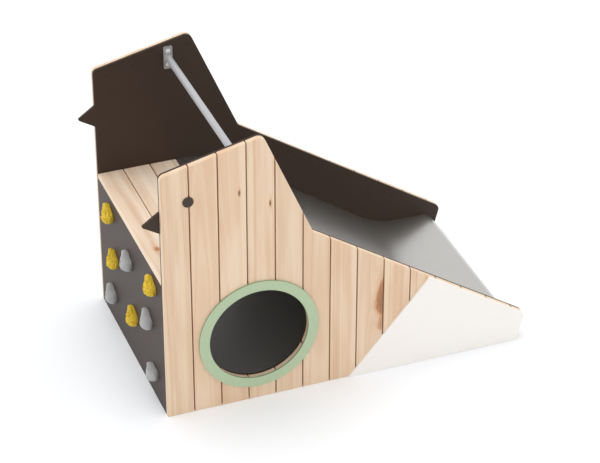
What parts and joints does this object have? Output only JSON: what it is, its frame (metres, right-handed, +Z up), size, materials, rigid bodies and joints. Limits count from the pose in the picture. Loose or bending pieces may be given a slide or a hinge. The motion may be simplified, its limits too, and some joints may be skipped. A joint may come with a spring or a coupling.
{
  "type": "toddler slide",
  "caption": "Free-standing toddler slide: bird-shaped boarded side walls, climbing wall with holds, deck, crawl hole with ring, grab bar and stainless chute.",
  "frame": {"origin": "on the ground, at the middle of the overall length and width", "axes": "+Z up; +X from the climbing end towards the foot of the chute; +Y towards the left wall of a child who slides"},
  "size_m": [1.546, 0.877, 1.154],
  "materials": {
    "cladding_wood": "planed softwood, clear oiled",
    "deck_wood": "planed softwood, clear oiled",
    "frame_wood": "sawn softwood",
    "dark_sheet": "dark brown compact laminate, matt",
    "climbing_sheet": "grey-brown compact laminate, matt",
    "eye_sheet": "dark brown compact laminate, matt",
    "green_sheet": "pale green compact laminate with a dark core edge",
    "white_sheet": "off-white compact laminate",
    "stainless_sheet": "brushed stainless sheet",
    "steel_tube": "galvanised steel, satin",
    "zinc_fixings": "zinc plated",
    "black_screws": "black coated",
    "yellow_hold": "cast resin, rough",
    "grey_hold": "cast resin, rough"
  },
  "bodies": {
    "root": {"cave_floor": "dark_sheet", "chute": "stainless_sheet", "chute_cleats": "frame_wood", "chute_exit_rail": "frame_wood", "chute_head_rail": "frame_wood", "chute_mid_rail": "frame_wood", "cladding_screws": "black_screws", "climbing_wall": "climbing_sheet", "deck_board_1": "deck_wood", "deck_board_2": "deck_wood", "deck_board_3": "deck_wood", "grab_bar": "steel_tube", "grab_bar_bolts": "zinc_fixings", "grey_hold_1": "grey_hold", "grey_hold_2": "grey_hold", "grey_hold_3": "grey_hold", "grey_hold_4": "grey_hold", "hold_bolts": "zinc_fixings", "hold_tee_nuts": "zinc_fixings", "left_board_01": "cladding_wood", "left_board_02": "cladding_wood", "left_board_03": "cladding_wood", "left_board_04": "cladding_wood", "left_board_05": "cladding_wood", "left_board_06": "cladding_wood", "left_board_07": "cladding_wood", "left_board_08": "cladding_wood", "left_board_09": "cladding_wood", "left_board_10": "cladding_wood", "left_board_11": "cladding_wood", "left_board_12": "cladding_wood", "left_board_13": "cladding_wood", "left_board_14": "cladding_wood", "left_crawl_ring": "green_sheet", "left_eye_disc": "eye_sheet", "left_tail_panel": "white_sheet", "left_wall_sheet": "dark_sheet", "right_board_01": "cladding_wood", "right_board_02": "cladding_wood", "right_board_03": "cladding_wood", "right_board_04": "cladding_wood", "right_board_05": "cladding_wood", "right_board_06": "cladding_wood", "right_board_07": "cladding_wood", "right_board_08": "cladding_wood", "right_board_09": "cladding_wood", "right_board_10": "cladding_wood", "right_board_11": "cladding_wood", "right_board_12": "cladding_wood", "right_board_13": "cladding_wood", "right_board_14": "cladding_wood", "right_crawl_ring": "green_sheet", "right_eye_disc": "eye_sheet", "right_tail_panel": "white_sheet", "right_wall_sheet": "dark_sheet", "wall_battens": "frame_wood", "yellow_hold_1": "yellow_hold", "yellow_hold_2": "yellow_hold", "yellow_hold_3": "yellow_hold", "yellow_hold_4": "yellow_hold"}
  },
  "joints": []
}
